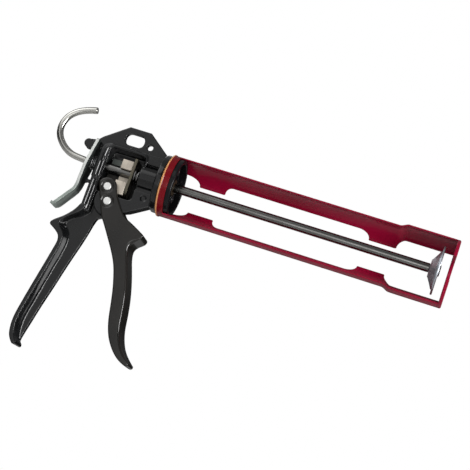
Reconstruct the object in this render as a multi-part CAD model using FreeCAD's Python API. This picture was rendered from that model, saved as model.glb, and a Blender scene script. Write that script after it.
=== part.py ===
# Caulking gun, open cradle type, for 310 ml cartridges.
# Frame: origin on the push rod's axis, in the plane where the cartridge's base
# seats on the collar's rim. +X along the rod towards the nozzle, +Z up (away
# from the handle), +Y towards the closed side of the cradle. Millimetres.
import FreeCAD, Part
import math
import os

V = FreeCAD.Vector
os.makedirs("parts", exist_ok=True)

# ---------------------------------------------------------------- dimensions
ROD_R = 3.9                 # push rod, 7.8 mm round steel
ROD_X0, ROD_X1 = -84.0, 222.1
HOOK_R = 2.95               # pull hook wire
STUD_R = 2.5                # hook stud and piston screw, both in the rod's ends

CRADLE_RO = 26.8            # cradle outer radius behind the joggle
SHEET = 1.2                 # cradle sheet
CRADLE_RI = CRADLE_RO - SHEET
CRADLE_RO2 = 29.4           # outer radius in front of the joggle
JOG_X0, JOG_X1 = 189.5, 195.5
PLATE_X0, PLATE_T = 237.6, 3.0
PLATE_X1 = PLATE_X0 + PLATE_T
SLOT_HALF = 10.0            # nozzle slot, half width
RAIL_NEAR = 17.0            # rail's reach to the loading side, degrees from vertical
RAIL_FAR = 44.3             # and to the closed side
TAB_FAR = 62.4              # at the tabs

RING_X0, RING_X1 = -10.6, -4.0
RING_LIP_R = 23.6           # inner lip captured behind the collar's shoulder
COLLAR_R = 25.2
COLLAR_NECK_R = 23.3
COLLAR_X0 = -11.0
COLLAR_SHOULDER_X = -7.9
COLLAR_FLOOR_X = -6.5
COLLAR_HUB_R, COLLAR_HUB_X = 8.5, -4.4
BUSH_RO, BUSH_RI = 6.0, 3.95
SCREW_PCR = 14.6            # collar screws' circle radius
SCREW_R, SCREW_HEAD_R = 1.9, 3.5

FLANGE_R = 25.4             # casting's front flange
FLANGE_X0, FLANGE_X1 = -16.5, -11.0
BOSS_R = 12.2               # spring boss between the cheeks and the flange
BOSS_X0 = -33.4
POCKET_R = 7.2              # spring pocket in the boss
POCKET_X1 = -15.0

CHEEK_Y = 9.5               # outer face of the casting's cheeks
CAVITY_Y = 7.0              # inner face
WEB_Y = 2.75                # hanging web, half thickness
COLUMN_X0, COLUMN_X1 = -73.0, -65.0
WINDOW_Z0, WINDOW_Z1 = -24.0, 16.4

PIVOT = (-51.5, -30.4)      # trigger pivot (x, z)
DRIVE = (-55.7, -18.3)      # drive pin (x, z)
PIN_R, PIN_HOLE_R, PIN_HEAD_R = 3.0, 3.05, 3.35
EAR_Y0, EAR_Y1 = 9.8, 12.5  # trigger's side walls
CBORE_R, CBORE_FLOOR = 5.3, 11.6

HANDLE_FLANGE_Y = 11.5
HANDLE_WEB_Y = 2.5

PISTON_R = 20.8
PISTON_X0, PISTON_X1 = 228.6, 230.3
CONE_X0 = 222.2             # the piston turns on its screw, so it has end play
PISTON_BORE = STUD_R + 0.06
CONE_R0, CONE_R1 = 7.2, 17.0

LEVER_T = 2.6
LEVER_TOP_Y = 12.0
LEVER_TAB_Y = 8.0
LEVER_HOLE_R = 5.0

# ---------------------------------------------------------------- helpers


def cyl_x(r, x0, x1, y=0.0, z=0.0):
    return Part.makeCylinder(r, x1 - x0, V(x0, y, z), V(1, 0, 0))


def cyl_y(r, y0, y1, x, z):
    return Part.makeCylinder(r, y1 - y0, V(x, y0, z), V(0, 1, 0))


def box(x0, x1, y0, y1, z0, z1):
    return Part.makeBox(x1 - x0, y1 - y0, z1 - z0, V(x0, y0, z0))


def poly_y(pts, y0, y1):
    """Polygon in the XZ plane, extruded from y0 to y1."""
    vs = [V(x, y0, z) for x, z in pts]
    vs.append(vs[0])
    return Part.Face(Part.makePolygon(vs)).extrude(V(0, y1 - y0, 0))


def poly_x(pts, x0, x1):
    """Polygon in the YZ plane, extruded from x0 to x1."""
    vs = [V(x0, y, z) for y, z in pts]
    vs.append(vs[0])
    return Part.Face(Part.makePolygon(vs)).extrude(V(x1 - x0, 0, 0))


def curve_y(runs, y0, y1):
    """Closed outline in XZ made of runs; each run is ('L', pts) or ('S', pts)
    and starts where the one before ends. Extruded from y0 to y1."""
    edges = []
    for kind, pts in runs:
        vs = [V(x, y0, z) for x, z in pts]
        if kind == "S" and len(vs) > 2:
            c = Part.BSplineCurve()
            c.interpolate(vs)
            edges.append(c.toShape())
        else:
            for a, b in zip(vs[:-1], vs[1:]):
                edges.append(Part.makeLine(a, b))
    w = Part.Wire(Part.__sortEdges__(edges))
    return Part.Face(w).extrude(V(0, y1 - y0, 0))


def turned(pts):
    """Polygon of (x, r), turned about the X axis."""
    vs = [V(x, 0, r) for x, r in pts]
    vs.append(vs[0])
    return Part.Face(Part.makePolygon(vs)).revolve(V(0, 0, 0), V(1, 0, 0), 360)


def fuse(first, *rest):
    s = first.multiFuse(list(rest)) if rest else first
    return s.removeSplitter()


def slot_y(x0, x1, z0, z1, r, y0, y1):
    """Rounded rectangle in XZ with corner radius r."""
    return fuse(box(x0 + r, x1 - r, y0, y1, z0, z1),
                box(x0, x1, y0, y1, z0 + r, z1 - r),
                cyl_y(r, y0, y1, x0 + r, z0 + r), cyl_y(r, y0, y1, x1 - r, z0 + r),
                cyl_y(r, y0, y1, x0 + r, z1 - r), cyl_y(r, y0, y1, x1 - r, z1 - r))


def try_fillet(s, edges, r):
    try:
        t = s.makeFillet(r, edges)
        if t.isValid() and t.Volume > 0 and len(t.Solids) == len(s.Solids):
            return t
    except Exception:
        pass
    return s


def coil_x(x0, x1, r_mid, wire, turns):
    """Compression spring about the X axis."""
    length = (x1 - x0) - 2 * wire
    pitch = length / turns
    helix = Part.makeHelix(pitch, length, r_mid)
    prof = Part.Wire(Part.makeCircle(wire, V(r_mid, 0, 0), V(0, 1, 0)))
    s = Part.Wire(helix).makePipeShell([prof], True, True)
    s.rotate(V(0, 0, 0), V(0, 1, 0), 90)
    s.translate(V(x0 + wire, 0, 0))
    return s


PARTS = {}


def add(name, shape):
    solids = shape.Solids
    out = solids[0] if len(solids) == 1 else Part.makeCompound(solids)
    if not out.isValid():
        print("INVALID", name)
    PARTS[name] = out


# ---------------------------------------------------------------- casting
web = poly_y([(-14.5, 19.0), (-14.5, 21.3), (-17.6, 24.3), (-37.5, 39.4), (-57.2, 39.4),
              (-77.2, 24.2), (-80.6, 20.4), (-85.6, 19.6), (-89.0, 17.6), (-90.5, 13.9),
              (-88.6, 11.6), (-85.0, 10.3), (-84.0, 12.8), (-83.6, 15.2), (-72.0, 15.2),
              (-60.0, 17.0)], -WEB_Y, WEB_Y)
knob = fuse(cyl_y(4.0, -4.6, 4.6, -86.9, 14.9), box(-86.9, -80.8, -4.6, 4.6, 12.0, 17.8))
box_outer = poly_y([(-73.0, 12.5), (-71.6, 16.2), (-69.0, 18.7), (-65.5, 19.8), (-16.0, 19.8),
                    (-16.0, -24.0), (-33.4, -34.8), (-42.0, -38.2), (-58.0, -46.5),
                    (-65.4, -44.0), (-72.8, -43.4)], -CHEEK_Y, CHEEK_Y)
# the underside rises towards the closed side
under = Part.makePolygon([V(x, -10.5, z) for x, z in ((-8.0, -19.2), (-16.0, -24.2), (-33.4, -35.0),
                                                      (-43.0, -38.8), (-43.0, -60.0), (-8.0, -60.0),
                                                      (-8.0, -19.2))])
box_outer = box_outer.cut(Part.Face(under).extrude(V(0, 21.0, 3.4)))
# low ground between the rear column, the pivot boss and the handle
low = [(-64.6, -24.6), (-64.6, -42.6), (-67.6, -46.6), (-64.0, -62.0), (-44.0, -62.0), (-44.0, -36.0),
       (-51.5, -30.4), (-57.0, -24.6)]
for s in (-1, 1):
    box_outer = box_outer.cut(poly_y(low, *sorted((s * HANDLE_WEB_Y, s * 12.0))))
pivot_boss = cyl_y(12.3, -CHEEK_Y, CHEEK_Y, *PIVOT)
flange = turned([(FLANGE_X0, 0), (FLANGE_X0, FLANGE_R - 0.8), (FLANGE_X0 + 0.8, FLANGE_R),
                 (FLANGE_X1 - 0.6, FLANGE_R), (FLANGE_X1, FLANGE_R - 0.6), (FLANGE_X1, 0)])
boss = cyl_x(BOSS_R, BOSS_X0, FLANGE_X0 + 1)
column_pad = box(-74.2, -70.0, -7.5, 7.5, -12.6, 12.5)

grip_rear = [(-72.8, -39.0), (-74.7, -43.2), (-76.9, -46.7), (-79.7, -50.1), (-83.1, -53.6),
             (-87.4, -57.0), (-91.2, -60.5)]
grip_nose = [(-91.2, -60.5), (-92.0, -62.3), (-91.4, -64.0)]
grip_back = [(-91.4, -64.0), (-85.8, -67.3), (-81.4, -71.6), (-80.6, -76.5), (-81.2, -80.9),
             (-82.7, -89.5), (-85.8, -106.4), (-88.9, -123.3), (-91.4, -138.0), (-92.7, -148.5),
             (-92.3, -156.8), (-90.6, -163.4), (-88.0, -167.4), (-85.6, -169.4), (-83.7, -168.8)]
rim_inner = [(-68.2, -38.6), (-68.9, -43.0), (-72.4, -47.4), (-77.6, -51.6), (-81.9, -56.0),
             (-84.0, -59.8), (-81.9, -63.6), (-78.6, -66.9), (-76.9, -74.0), (-77.9, -85.0),
             (-79.8, -94.7), (-81.5, -104.3), (-83.3, -113.9), (-85.0, -123.2), (-86.8, -132.8),
             (-88.3, -141.5), (-89.0, -149.0), (-88.4, -156.5), (-86.6, -162.6), (-83.7, -166.6)]
handle_rim = curve_y([("S", grip_rear), ("S", grip_nose), ("S", grip_back),
                      ("L", [(-83.7, -168.8), (-83.7, -166.6)]), ("S", rim_inner[::-1]),
                      ("L", [(-68.2, -38.6), (-72.8, -39.0)])],
                     -HANDLE_FLANGE_Y, HANDLE_FLANGE_Y)
edge_cyl = [e for e in handle_rim.Edges
            if all(abs(abs(v.Point.y) - HANDLE_FLANGE_Y) < 1e-6 for v in e.Vertexes)]
handle_rim = try_fillet(handle_rim, edge_cyl, 1.4)
web_front = [(-54.2, -38.0), (-55.2, -42.3), (-57.6, -48.6), (-59.2, -55.9), (-61.9, -69.1),
             (-65.6, -84.0), (-69.1, -98.8), (-73.1, -116.7), (-76.6, -131.4), (-79.9, -147.4),
             (-82.0, -157.1), (-83.2, -164.4)]
handle_web = curve_y([("S", web_front),
                      ("L", [(-83.2, -164.4), (-84.6, -165.6), (-87.4, -156.0), (-87.6, -146.0),
                             (-84.0, -125.0), (-79.0, -95.0), (-77.0, -74.0), (-83.0, -60.0),
                             (-76.0, -47.6), (-68.0, -41.0), (-66.0, -25.0), (-54.2, -25.0),
                             (-54.2, -38.0)])],
                     -HANDLE_WEB_Y, HANDLE_WEB_Y)

casting = fuse(box_outer, web, knob, pivot_boss, flange, boss, column_pad,
               handle_rim, handle_web)
cavity = slot_y(COLUMN_X1, BOSS_X0, WINDOW_Z0, WINDOW_Z1, 3.0, -CHEEK_Y - 1, CAVITY_Y)
drive_slot = slot_y(-60.0, -45.2, -22.2, -14.2, 3.9, -CHEEK_Y - 1, CHEEK_Y + 1)
cheek_recess = [slot_y(BOSS_X0, FLANGE_X0 - 0.9, -13.9, 10.9, 0.8, s * 8.2 - 1.6, s * 8.2 + 1.6)
                for s in (-1, 1)]
recess_keep = cyl_x(BOSS_R, BOSS_X0 - 1, FLANGE_X0 + 1)
cheek_recess = [c.cut(recess_keep) for c in cheek_recess]
casting = casting.cut(Part.makeCompound([cavity]))
casting = casting.cut(drive_slot)
for c in cheek_recess:
    casting = casting.cut(c)
casting = casting.cut(cyl_x(POCKET_R, BOSS_X0 - 1, POCKET_X1))
casting = casting.cut(cyl_x(4.4, -76.0, -10.0))
casting = casting.cut(slot_y(-57.7, -40.9, 23.7, 34.4, 4.6, -9, 9))
casting = casting.cut(cyl_y(2.6, -9, 9, -34.6, 26.9))
casting = casting.cut(cyl_y(PIN_HOLE_R, -15, 15, *PIVOT))
casting = casting.cut(cyl_y(2.4, -CHEEK_Y - 1, -CHEEK_Y + 1.2, -23.5, -18.6))
casting = casting.cut(cyl_x(1.7, -74.6, -69.0, 0, -16.6))
for a in (90, 210, 330):
    y, z = SCREW_PCR * math.cos(math.radians(a)), SCREW_PCR * math.sin(math.radians(a))
    casting = casting.cut(cyl_x(SCREW_R + 0.05, FLANGE_X0 - 1.0, FLANGE_X1 + 1, y, z))
add("frame_casting", casting.removeSplitter())

# ---------------------------------------------------------------- collar
collar = turned([(COLLAR_X0, BUSH_RO), (COLLAR_X0, COLLAR_NECK_R),
                 (COLLAR_SHOULDER_X, COLLAR_NECK_R), (COLLAR_SHOULDER_X, COLLAR_R),
                 (-0.7, COLLAR_R), (0.0, COLLAR_R - 0.7), (0.0, 22.2), (-0.5, 21.7),
                 (COLLAR_FLOOR_X, 21.2), (COLLAR_FLOOR_X, COLLAR_HUB_R),
                 (COLLAR_HUB_X, COLLAR_HUB_R), (COLLAR_HUB_X, BUSH_RO)])
heads, ribs = [], []
for a in (90, 210, 330):
    y, z = SCREW_PCR * math.cos(math.radians(a)), SCREW_PCR * math.sin(math.radians(a))
    collar = collar.cut(cyl_x(SCREW_R + 0.2, COLLAR_X0 - 1, COLLAR_FLOOR_X + 1, y, z))
    shank = cyl_x(SCREW_R, FLANGE_X0, COLLAR_FLOOR_X + 0.5, y, z)
    head = cyl_x(SCREW_HEAD_R, COLLAR_FLOOR_X, COLLAR_FLOOR_X + 2.4, y, z)
    sock = cyl_x(1.6, COLLAR_FLOOR_X + 1.0, COLLAR_FLOOR_X + 3.0, y, z)
    heads.append(fuse(shank, head).cut(sock))
for a in (30, 150, 270):
    rib = box(COLLAR_FLOOR_X - 0.5, -3.2, COLLAR_HUB_R - 1.0, 21.6, -1.1, 1.1)
    rib.rotate(V(0, 0, 0), V(1, 0, 0), a)
    ribs.append(rib)
collar = fuse(collar, *ribs)
add("cartridge_collar", collar)
add("collar_screws", Part.makeCompound(heads))
add("rod_bush", turned([(COLLAR_X0, BUSH_RI), (COLLAR_X0, BUSH_RO), (-4.4, BUSH_RO),
                        (-4.4, 7.0), (-3.4, 7.0), (-3.4, BUSH_RI)]))

# ---------------------------------------------------------------- cradle
ring = turned([(RING_X0, RING_LIP_R), (RING_X0, CRADLE_RO + 0.2), (RING_X0 + 0.5, CRADLE_RO + 0.6),
               (RING_X0 + 1.3, CRADLE_RO + 0.6), (RING_X0 + 1.9, CRADLE_RO),
               (RING_X1, CRADLE_RO), (RING_X1, CRADLE_RI), (-8.2, CRADLE_RI),
               (-8.2, RING_LIP_R)])
add("cradle_ring", ring)

rail_tube = turned([(RING_X1, CRADLE_RI), (RING_X1, CRADLE_RO), (JOG_X0, CRADLE_RO),
                    (JOG_X1, CRADLE_RO2), (PLATE_X0, CRADLE_RO2), (PLATE_X0, CRADLE_RO2 - SHEET),
                    (JOG_X1 + 0.5, CRADLE_RO2 - SHEET), (JOG_X0 + 0.5, CRADLE_RI)])


def wedge(a0, a1, x0, x1, r=40.0):
    """Sector from a0 to a1, degrees from +Z towards +Y."""
    pts = [(0.0, 0.0)]
    n = 8
    for i in range(n + 1):
        a = math.radians(a0 + (a1 - a0) * i / n)
        pts.append((r * math.sin(a), r * math.cos(a)))
    return poly_x(pts, x0, x1)


def tab(x_start, xa, xb, x_end, rise):
    """Tab on the closed side: outline in the plane tangent at 53 degrees,
    concave run-out from x_start to xa, flat to xb, then a short run-out."""
    n = 8
    s0 = CRADLE_RO * math.sin(math.radians(RAIL_FAR - 53.0)) - 0.02
    s1 = CRADLE_RO * math.sin(math.radians(TAB_FAR - 53.0))
    pts = [(x_start, s0 - 3.0), (x_start, s0)]
    for i in range(1, n + 1):
        t = i / n
        pts.append((x_start + (xa - x_start) * math.sin(t * math.pi / 2),
                    s0 + (s1 - s0) * (1 - math.cos(t * math.pi / 2)) if rise == "cove"
                    else s0 + (s1 - s0) * (0.5 - 0.5 * math.cos(t * math.pi))))
    pts[-1] = (xa, s1 - 0.4)
    pts.append((xa + 0.6, s1))
    pts.append((xb - 0.8, s1))
    pts.append((xb, s1 - 0.7))
    for i in range(1, n + 1):
        t = i / n
        pts.append((xb + (x_end - xb) * (1 - math.cos(t * math.pi / 2)),
                    s1 - 0.7 + (s0 - s1 + 0.7) * math.sin(t * math.pi / 2)))
    pts.append((x_end, s0 - 3.0))
    vs = [V(x, s, 18.0) for x, s in pts]
    vs.append(vs[0])
    p = Part.Face(Part.makePolygon(vs)).extrude(V(0, 0, 18.0))
    p.rotate(V(0, 0, 0), V(1, 0, 0), -53.0)
    return p


def rail(dx):
    keep = fuse(wedge(-RAIL_NEAR, RAIL_FAR, RING_X1 - 1, PLATE_X0 + 1),
                tab(-0.5 + dx, 12.7 + dx, 36.0 + dx, 42.5 + dx, "cove"),
                tab(155.5 + dx, 166.0 + dx, 190.3 + dx, 197.5 + dx, "cove"))
    return rail_tube.common(keep)


upper = rail(0.0)
lower = rail(-2.4).mirror(V(0, 0, 0), V(0, 0, 1))
add("upper_rail", upper)
add("lower_rail", lower)

plate = turned([(PLATE_X0, 0), (PLATE_X0, CRADLE_RO2), (PLATE_X1 - 1.0, CRADLE_RO2),
                (PLATE_X1 - 0.3, CRADLE_RO2 - 0.4), (PLATE_X1, CRADLE_RO2 - 1.2), (PLATE_X1, 0)])
nozzle = fuse(cyl_x(SLOT_HALF, PLATE_X0 - 1, PLATE_X1 + 1),
              box(PLATE_X0 - 1, PLATE_X1 + 1, -40, 0, -SLOT_HALF, SLOT_HALF))
add("front_plate", plate.cut(nozzle))

# ---------------------------------------------------------------- rod group
rod = turned([(ROD_X0, 0), (ROD_X0, ROD_R - 0.6), (ROD_X0 + 0.6, ROD_R),
              (ROD_X1 - 0.4, ROD_R), (ROD_X1, ROD_R - 0.4), (ROD_X1, 0)])
rod = rod.cut(cyl_x(STUD_R + 0.1, ROD_X0 - 1, ROD_X0 + 13))
rod = rod.cut(cyl_x(STUD_R + 0.1, ROD_X1 - 14, ROD_X1 + 1))
add("push_rod", rod)

# the hook: straight shank, then bends made of tangent arcs
hook_pts = [(ROD_X0, 0.0), (-99.3, 1.3), (-107.3, 5.6), (-114.6, 13.2), (-117.6, 22.6),
            (-114.2, 33.2), (-106.8, 39.9), (-98.0, 43.6), (-89.8, 45.6)]
hook_r = [0, 12.0, 18.0, 16.0, 16.0, 14.0, 20.0, 24.0, 0]


def arc_path(pts, radii):
    edges = []
    start = V(pts[0][0], 0, pts[0][1])
    for i in range(1, len(pts) - 1):
        a = V(pts[i - 1][0], 0, pts[i - 1][1])
        b = V(pts[i][0], 0, pts[i][1])
        c = V(pts[i + 1][0], 0, pts[i + 1][1])
        u, w = (a - b), (c - b)
        lu, lw = u.Length, w.Length
        u.normalize()
        w.normalize()
        half = math.acos(max(-1, min(1, u.dot(w)))) / 2
        back = radii[i] / math.tan(half)
        back = min(back, 0.46 * lu, 0.46 * lw)
        r = back * math.tan(half)
        p, q = b + u * back, b + w * back
        bis = (u + w)
        bis.normalize()
        mid = b + bis * (r / math.sin(half) - r)
        if (p - start).Length > 1e-4:
            edges.append(Part.makeLine(start, p))
        edges.append(Part.Arc(p, mid, q).toShape())
        start = q
    end = V(pts[-1][0], 0, pts[-1][1])
    edges.append(Part.makeLine(start, end))
    return Part.Wire(edges)


path = arc_path(hook_pts, hook_r)
d0 = V(hook_pts[1][0] - hook_pts[0][0], 0, hook_pts[1][1] - hook_pts[0][1])
prof = Part.Wire(Part.makeCircle(HOOK_R, V(ROD_X0, 0, 0), d0))
hook = path.makePipeShell([prof], True, True)
hook = hook.cut(box(ROD_X0, ROD_X0 + 5, -6, 6, -6, 6))
stud = cyl_x(STUD_R, ROD_X0 - 2.0, ROD_X0 + 12.0)
add("pull_hook", fuse(hook, stud))

add("piston_cone", turned([(CONE_X0, PISTON_BORE), (CONE_X0, CONE_R0), (CONE_X0 + 1.2, CONE_R0 + 1.6),
                           (CONE_X0 + 3.6, CONE_R1 - 4.2), (PISTON_X0 - 1.0, CONE_R1 - 0.8), (PISTON_X0, CONE_R1),
                           (PISTON_X0, PISTON_BORE)]))
add("piston_disc", turned([(PISTON_X0, PISTON_BORE), (PISTON_X0, PISTON_R - 0.3),
                           (PISTON_X0 + 0.3, PISTON_R), (PISTON_X1 - 0.3, PISTON_R),
                           (PISTON_X1, PISTON_R - 0.3), (PISTON_X1, PISTON_BORE)]))
HEAD_X0 = PISTON_X1 + 0.1
add("piston_screw", turned([(ROD_X1 - 13, 0), (ROD_X1 - 13, STUD_R), (HEAD_X0, STUD_R),
                            (HEAD_X0, 5.2), (HEAD_X0 + 0.5, 4.9), (HEAD_X0 + 0.9, 4.0),
                            (HEAD_X0 + 0.9, 0)]))

# ---------------------------------------------------------------- trigger
trig_left = [(-63.6, -17.5), (-60.5, -25.5), (-55.6, -36.0), (-52.1, -43.7), (-49.3, -47.6),
             (-41.9, -57.8), (-34.4, -68.6), (-27.4, -80.8), (-24.2, -89.2), (-21.6, -97.5),
             (-19.5, -105.8), (-17.7, -114.1), (-16.0, -122.4), (-13.7, -130.6), (-10.2, -138.8),
             (-4.9, -146.6), (1.3, -152.6), (8.0, -156.4)]
trig_toe = [(8.0, -156.4), (10.6, -157.2), (12.6, -156.9), (13.5, -155.3), (12.4, -153.5)]
trig_front = [(12.4, -153.5), (7.7, -149.2), (3.2, -144.0), (0.2, -138.6), (-2.0, -133.0),
              (-3.7, -126.5), (-4.8, -119.5), (-6.0, -112.0), (-7.7, -103.5), (-10.0, -94.5),
              (-12.7, -85.8), (-16.0, -76.5), (-18.5, -69.5), (-19.7, -63.8)]
trig_horn = [(-19.7, -63.8), (-19.2, -60.0), (-16.9, -56.8), (-14.0, -54.2), (-12.1, -51.9),
             (-11.8, -49.9), (-13.4, -48.1)]
trig_top = [(-13.4, -48.1), (-17.0, -46.2), (-23.6, -42.9), (-33.0, -38.0), (-38.9, -31.6),
            (-43.6, -25.0), (-47.5, -17.2)]
trig_arc = [(-47.5, -17.2), (-49.4, -13.2), (-52.6, -10.8), (-56.4, -10.4), (-60.4, -11.6),
            (-63.0, -14.2), (-63.6, -17.5)]
outline = [("S", trig_left), ("S", trig_toe), ("S", trig_front), ("S", trig_horn),
           ("S", trig_top), ("S", trig_arc)]
trigger = curve_y(outline, -EAR_Y1, EAR_Y1)
trigger = try_fillet(trigger, [e for e in trigger.Edges
                               if all(abs(abs(v.Point.y) - EAR_Y1) < 1e-6 for v in e.Vertexes)], 0.9)
# inside of the channel, open towards the handle and over the casting
channel = poly_y([(-70.0, -5.0), (-30.0, -5.0), (-12.0, -18.0), (-12.0, -41.0), (-20.0, -43.0),
                  (-27.6, -44.2), (-26.4, -50.0), (-24.6, -57.0), (-24.2, -64.0), (-22.4, -71.5),
                  (-17.4, -86.5), (-14.2, -97.0), (-11.4, -108.0), (-9.6, -118.0), (-8.2, -127.5),
                  (-6.0, -135.5), (-2.8, -141.8), (0.6, -146.4),
                  (-2.0, -153.0), (-14.0, -146.0), (-26.0, -128.0), (-30.0, -105.0),
                  (-45.0, -70.0), (-70.0, -50.0)], -EAR_Y0, EAR_Y0)
trigger = trigger.cut(channel)
for px, pz in (PIVOT, DRIVE):
    trigger = trigger.cut(cyl_y(PIN_HOLE_R if (px, pz) == PIVOT else PIN_R + 0.02, -20, 20, px, pz))
    trigger = trigger.cut(cyl_y(CBORE_R, -20, -CBORE_FLOOR, px, pz))
    trigger = trigger.cut(cyl_y(CBORE_R, CBORE_FLOOR, 20, px, pz))
trigger = trigger.removeSplitter()
add("trigger", trigger)

for name, (px, pz) in (("pivot_pin", PIVOT), ("drive_pin", DRIVE)):
    pin = fuse(cyl_y(PIN_R, -12.4, 13.2, px, pz), cyl_y(PIN_HEAD_R, -12.9, -11.9, px, pz))
    pin = pin.cut(cyl_y(PIN_R + 1, 12.0, 12.8, px, pz).cut(cyl_y(2.4, 11.9, 12.9, px, pz)))
    add(name, pin)
    clip = cyl_y(4.6, 12.05, 12.75, px, pz).cut(cyl_y(2.4, 11, 14, px, pz))
    clip = clip.cut(box(px - 1.6, px + 1.6, 11, 14, pz - 7, pz))
    add(name + "_clip", clip)

# ---------------------------------------------------------------- drive group
block = fuse(box(-52.3, -42.6, -6.2, 6.2, -20.5, 10.0),
             box(-63.0, -52.3, 2.6, 6.2, 4.4, 9.6), box(-63.0, -52.3, 2.6, 6.2, -9.8, -4.4))
block = block.cut(cyl_x(4.25, -70, -30))
block = block.cut(box(-53, -42, -7, 0.0, -9.2, 1.8))
add("drive_block", block)
tongue = fuse(poly_x([(-6.4, 13.2), (6.4, 13.2), (6.4, -15.2), (-6.4, -15.2)], -42.2, -39.8),
              cyl_x(6.4, -42.2, -39.8, 0, -15.2))
tongue = tongue.cut(cyl_x(4.25, -70, -30))
add("grip_plate", tongue)
add("return_spring", coil_x(-39.6, POCKET_X1, 5.75, 0.6, 7))

# ---------------------------------------------------------------- release lever
lv = [(-77.9, 19.4), (-81.1, -2.0), (-82.9, -23.6), (-84.0, -27.4), (-86.6, -31.4),
      (-95.5, -44.2), (-97.3, -45.4), (-99.1, -44.6)]


def strip(pts, t):
    """Thick strip outline about a centre line of points in XZ."""
    n = len(pts)
    left, right = [], []
    for i in range(n):
        if i == 0:
            dx, dz = pts[1][0] - pts[0][0], pts[1][1] - pts[0][1]
        elif i == n - 1:
            dx, dz = pts[-1][0] - pts[-2][0], pts[-1][1] - pts[-2][1]
        else:
            ax, az = pts[i][0] - pts[i - 1][0], pts[i][1] - pts[i - 1][1]
            bx, bz = pts[i + 1][0] - pts[i][0], pts[i + 1][1] - pts[i][1]
            la, lb = math.hypot(ax, az), math.hypot(bx, bz)
            dx, dz = ax / la + bx / lb, az / la + bz / lb
        d = math.hypot(dx, dz)
        nx, nz = -dz / d, dx / d
        left.append((pts[i][0] + nx * t / 2, pts[i][1] + nz * t / 2))
        right.append((pts[i][0] - nx * t / 2, pts[i][1] - nz * t / 2))
    return left + right[::-1]


lever = poly_y(strip(lv, LEVER_T), -20, 20)
front = poly_x([(-LEVER_TOP_Y + 2, 20.2), (LEVER_TOP_Y - 2, 20.2), (LEVER_TOP_Y, 18.2),
                (LEVER_TOP_Y, -6.0), (LEVER_TAB_Y, -26.0), (LEVER_TAB_Y + 0.6, -43.0),
                (LEVER_TAB_Y - 1.4, -48.0), (-LEVER_TAB_Y + 1.4, -48.0), (-LEVER_TAB_Y - 0.6, -43.0),
                (-LEVER_TAB_Y, -26.0), (-LEVER_TOP_Y, -6.0), (-LEVER_TOP_Y, 18.2)], -110, -60)
lever = lever.common(front)
lever = lever.cut(cyl_x(LEVER_HOLE_R, -100, -60))
lever = lever.cut(box(-100, -60, -3.5, 3.5, 14.4, 30))
add("release_lever", lever)
add("release_spring", coil_x(-79.2, -74.3, 5.6, 0.55, 2.5))
add("lever_stop_pin", fuse(cyl_x(1.65, -78.4, -70.0, 0, -16.6), cyl_x(2.3, -78.7, -77.6, 0, -16.6)))

# ---------------------------------------------------------------- write
for name, shape in PARTS.items():
    shape.exportStep("parts/%s.step" % name)
    bb = shape.BoundBox
    print("%-18s solids %d vol %9.1f  x %7.1f %7.1f  y %6.1f %6.1f  z %7.1f %7.1f %s" % (
        name, len(shape.Solids), shape.Volume, bb.XMin, bb.XMax, bb.YMin, bb.YMax,
        bb.ZMin, bb.ZMax, "" if shape.isValid() else "INVALID"))
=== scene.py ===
import math
import bpy
import bmesh
from mathutils import Matrix, Vector


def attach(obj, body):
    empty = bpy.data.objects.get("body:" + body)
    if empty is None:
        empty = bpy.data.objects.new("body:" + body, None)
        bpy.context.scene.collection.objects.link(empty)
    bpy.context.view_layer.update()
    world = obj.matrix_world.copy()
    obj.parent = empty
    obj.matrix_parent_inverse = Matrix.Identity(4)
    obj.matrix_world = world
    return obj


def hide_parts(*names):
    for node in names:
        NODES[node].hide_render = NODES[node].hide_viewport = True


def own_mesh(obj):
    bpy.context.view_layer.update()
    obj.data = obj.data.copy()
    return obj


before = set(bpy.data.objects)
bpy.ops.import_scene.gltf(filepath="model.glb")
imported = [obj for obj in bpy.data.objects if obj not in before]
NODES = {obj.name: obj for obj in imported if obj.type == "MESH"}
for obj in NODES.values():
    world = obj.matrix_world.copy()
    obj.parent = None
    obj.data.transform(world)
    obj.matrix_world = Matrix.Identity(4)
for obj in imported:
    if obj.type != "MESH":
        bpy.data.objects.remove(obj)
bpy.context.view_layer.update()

MM = 0.001


# ------------------------------------------------------------------ mesh tools
def new_object(name, bm, smooth=True, sharp=None):
    me = bpy.data.meshes.new(name)
    bm.normal_update()
    bm.to_mesh(me)
    bm.free()
    ob = bpy.data.objects.new(name, me)
    bpy.context.scene.collection.objects.link(ob)
    for p in me.polygons:
        p.use_smooth = smooth
    if sharp is not None:
        mark_sharp(ob, sharp)
    return ob


def mark_sharp(ob, degrees):
    """Smooth shading, broken at edges steeper than that."""
    bm = bmesh.new()
    bm.from_mesh(ob.data)
    lim = math.radians(degrees)
    for f in bm.faces:
        f.smooth = True
    for e in bm.edges:
        if len(e.link_faces) == 2:
            e.smooth = e.calc_face_angle(0.0) < lim
        else:
            e.smooth = False
    bm.to_mesh(ob.data)
    bm.free()


def baked(ob):
    """Applies the object's modifiers."""
    bpy.context.view_layer.update()
    dg = bpy.context.evaluated_depsgraph_get()
    me = bpy.data.meshes.new_from_object(ob.evaluated_get(dg))
    ob.modifiers.clear()
    old = ob.data
    ob.data = me
    bpy.data.meshes.remove(old)
    return ob


def copy_of(node, name):
    """A piece that starts from the CAD node's own surface, welded."""
    bm = bmesh.new()
    bm.from_mesh(NODES[node].data)
    bmesh.ops.remove_doubles(bm, verts=bm.verts, dist=2e-6)
    bmesh.ops.recalc_face_normals(bm, faces=bm.faces)
    return new_object(name, bm)


def flats_joined(ob, degrees=0.6):
    bm = bmesh.new()
    bm.from_mesh(ob.data)
    bmesh.ops.dissolve_limit(bm, angle_limit=math.radians(degrees), verts=bm.verts, edges=bm.edges)
    bm.to_mesh(ob.data)
    bm.free()
    return ob


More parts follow.
